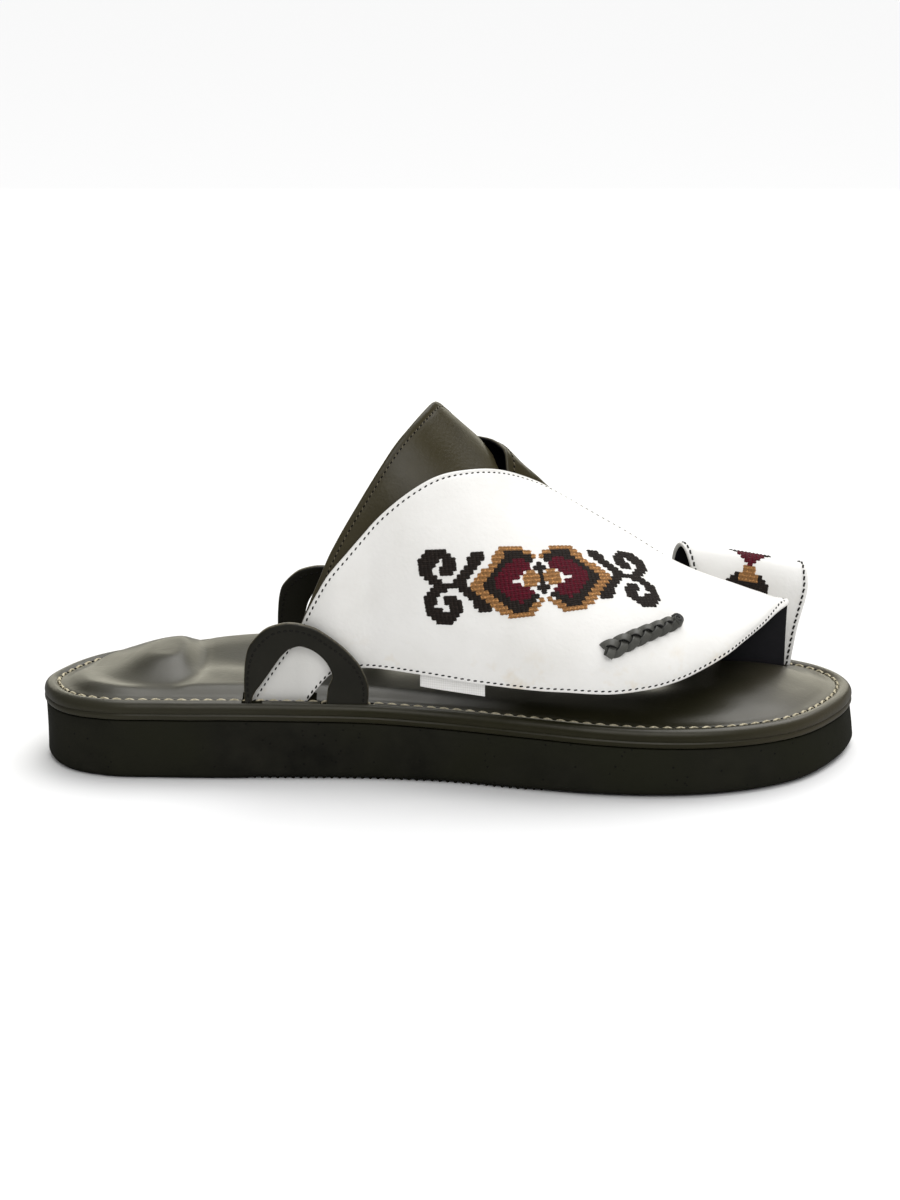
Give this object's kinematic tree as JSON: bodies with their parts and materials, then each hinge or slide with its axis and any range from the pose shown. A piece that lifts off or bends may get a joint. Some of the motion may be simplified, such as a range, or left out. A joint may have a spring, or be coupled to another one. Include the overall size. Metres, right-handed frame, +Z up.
{
  "type": "arabic sandal",
  "caption": "Flat open-heel leather sandal for the right foot, with a tall pointed wing over the instep, an embroidered outer panel, a big-toe loop and ear tabs.",
  "frame": {"origin": "on the floor plane under the middle of the sole's length, on the long axis of the heel", "axes": "+X towards the toe, +Y towards the inner side of the foot, +Z up from the floor"},
  "size_m": [0.2905, 0.0985, 0.1263],
  "materials": {
    "sole_rubber": "matt microcellular rubber",
    "footbed_leather": "semi-gloss smooth leather",
    "olive_leather": "semi-gloss smooth leather",
    "white_leather": "satin smooth leather",
    "plait_leather": "satin leather cord",
    "label_fabric": "blank woven tab"
  },
  "bodies": {
    "root": {"outsole": "sole_rubber", "footbed": "footbed_leather", "upper": "olive_leather", "overlay_panel": "white_leather", "toe_loop": "white_leather", "ear_lateral": "olive_leather", "ear_medial": "olive_leather", "braid": "plait_leather", "label_tab": "label_fabric"}
  },
  "joints": []
}
